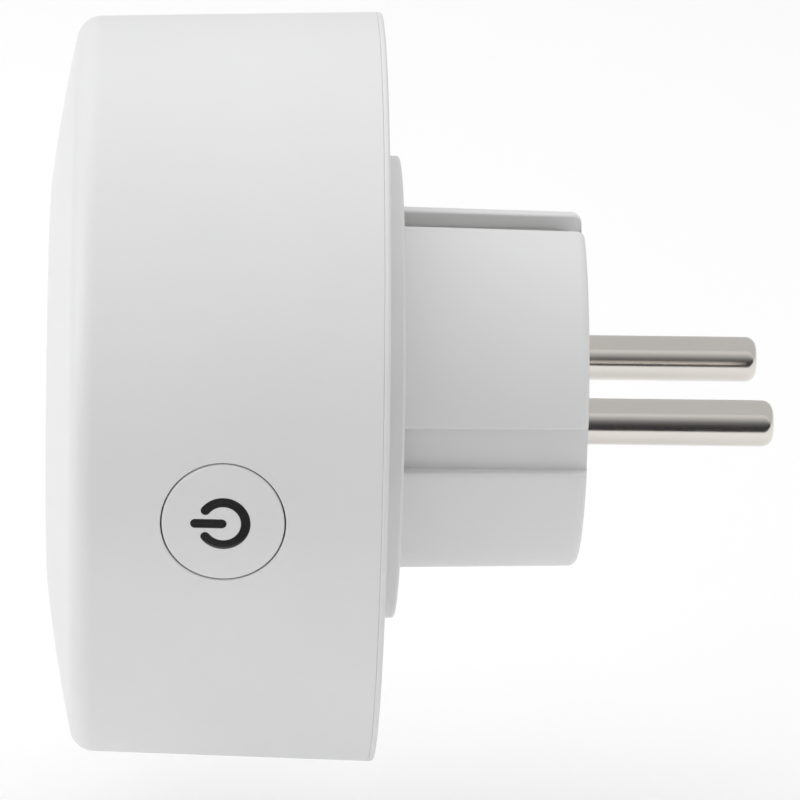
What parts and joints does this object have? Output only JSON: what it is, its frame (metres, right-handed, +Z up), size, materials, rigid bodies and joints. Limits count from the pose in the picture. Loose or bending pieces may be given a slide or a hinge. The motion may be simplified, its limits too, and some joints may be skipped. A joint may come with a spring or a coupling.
{
  "type": "smart plug",
  "caption": "Round smart plug with a domed front socket, a power button on its side and a round-pin earthed plug on its back.",
  "frame": {"origin": "on the plug's axis, in the plane of the raised back disc, where the plug meets the wall socket", "axes": "+X along the plug's axis, in the direction the pins point; +Z up; the button is on the -Y side"},
  "size_m": [0.0749, 0.0784, 0.0784],
  "materials": {
    "white_case": "fine satin",
    "white_socket": "satin",
    "ivory_insulator": "moulded",
    "orange_shutter": "moulded",
    "nickel_pin": "nickel-plated brass, polished",
    "contact_brass": "bright",
    "earth_nickel": "nickel-plated sheet",
    "copper_strip": "tinned copper",
    "spring_steel": "bright wire",
    "board_green": "solder mask",
    "board_blue": "solder mask",
    "relay_case": "moulded",
    "film_yellow": "moulded",
    "can_sleeve": "shrink sleeve",
    "ferrite": "ferrite with copper winding",
    "varistor_blue": "dipped",
    "resistor_body": "lacquered",
    "chip_black": "moulded",
    "shield_can": "tinned sheet",
    "smoked_window": "smoked polycarbonate",
    "switch_black": "moulded",
    "plunger_ivory": "moulded",
    "led_window": "clear epoxy",
    "screw_steel": "zinc-plated"
  },
  "bodies": {
    "casing": {"front_shell": "white_case", "rear_cover": "white_case", "socket_insert": "white_socket", "contact_carrier": "ivory_insulator", "pin_carrier": "white_socket", "live_pin": "nickel_pin", "neutral_pin": "nickel_pin", "live_contact": "contact_brass", "neutral_contact": "contact_brass", "front_earth_strap": "earth_nickel", "rear_earth_strap": "earth_nickel", "earth_link": "earth_nickel", "live_in_link": "copper_strip", "live_out_link": "copper_strip", "neutral_link": "copper_strip", "main_board": "board_green", "relay": "relay_case", "film_capacitor": "film_yellow", "filter_capacitors": "can_sleeve", "choke": "ferrite", "varistor": "varistor_blue", "fuse_resistor": "resistor_body", "board_chips": "chip_black", "wifi_board": "board_blue", "wifi_shield": "shield_can", "tact_switch": "switch_black", "button_board": "board_green", "status_led": "led_window", "case_screws": "screw_steel", "button_board_screws": "screw_steel"},
    "button": {"button_cap": "white_case", "button_light_guide": "smoked_window"},
    "switch_plunger": {"tact_plunger": "plunger_ivory"},
    "shutter": {"socket_shutter": "orange_shutter", "shutter_spring": "spring_steel"}
  },
  "joints": [
    {"name": "button_press", "type": "slide", "parent": "casing", "child": "button", "axis": [0, 1, 0], "range_m": [0, 0.0005], "stiffness_N_per_m": 400, "springref_m": -0.0005},
    {"name": "plunger_press", "type": "slide", "parent": "casing", "child": "switch_plunger", "axis": [0, 1, 0], "range_m": [0, 0.0005]},
    {"name": "shutter_turn", "type": "hinge", "parent": "casing", "child": "shutter", "pos_m": [-0.0155, 0, 0], "axis": [1, 0, 0], "range_deg": [0, 42], "stiffness_Nm_per_rad": 0.002, "springref_deg": -17.19, "deforming": ["shutter_spring"]}
  ],
  "couplings": [
    {"joint": "plunger_press", "follows": "button_press", "ratio": 1}
  ]
}
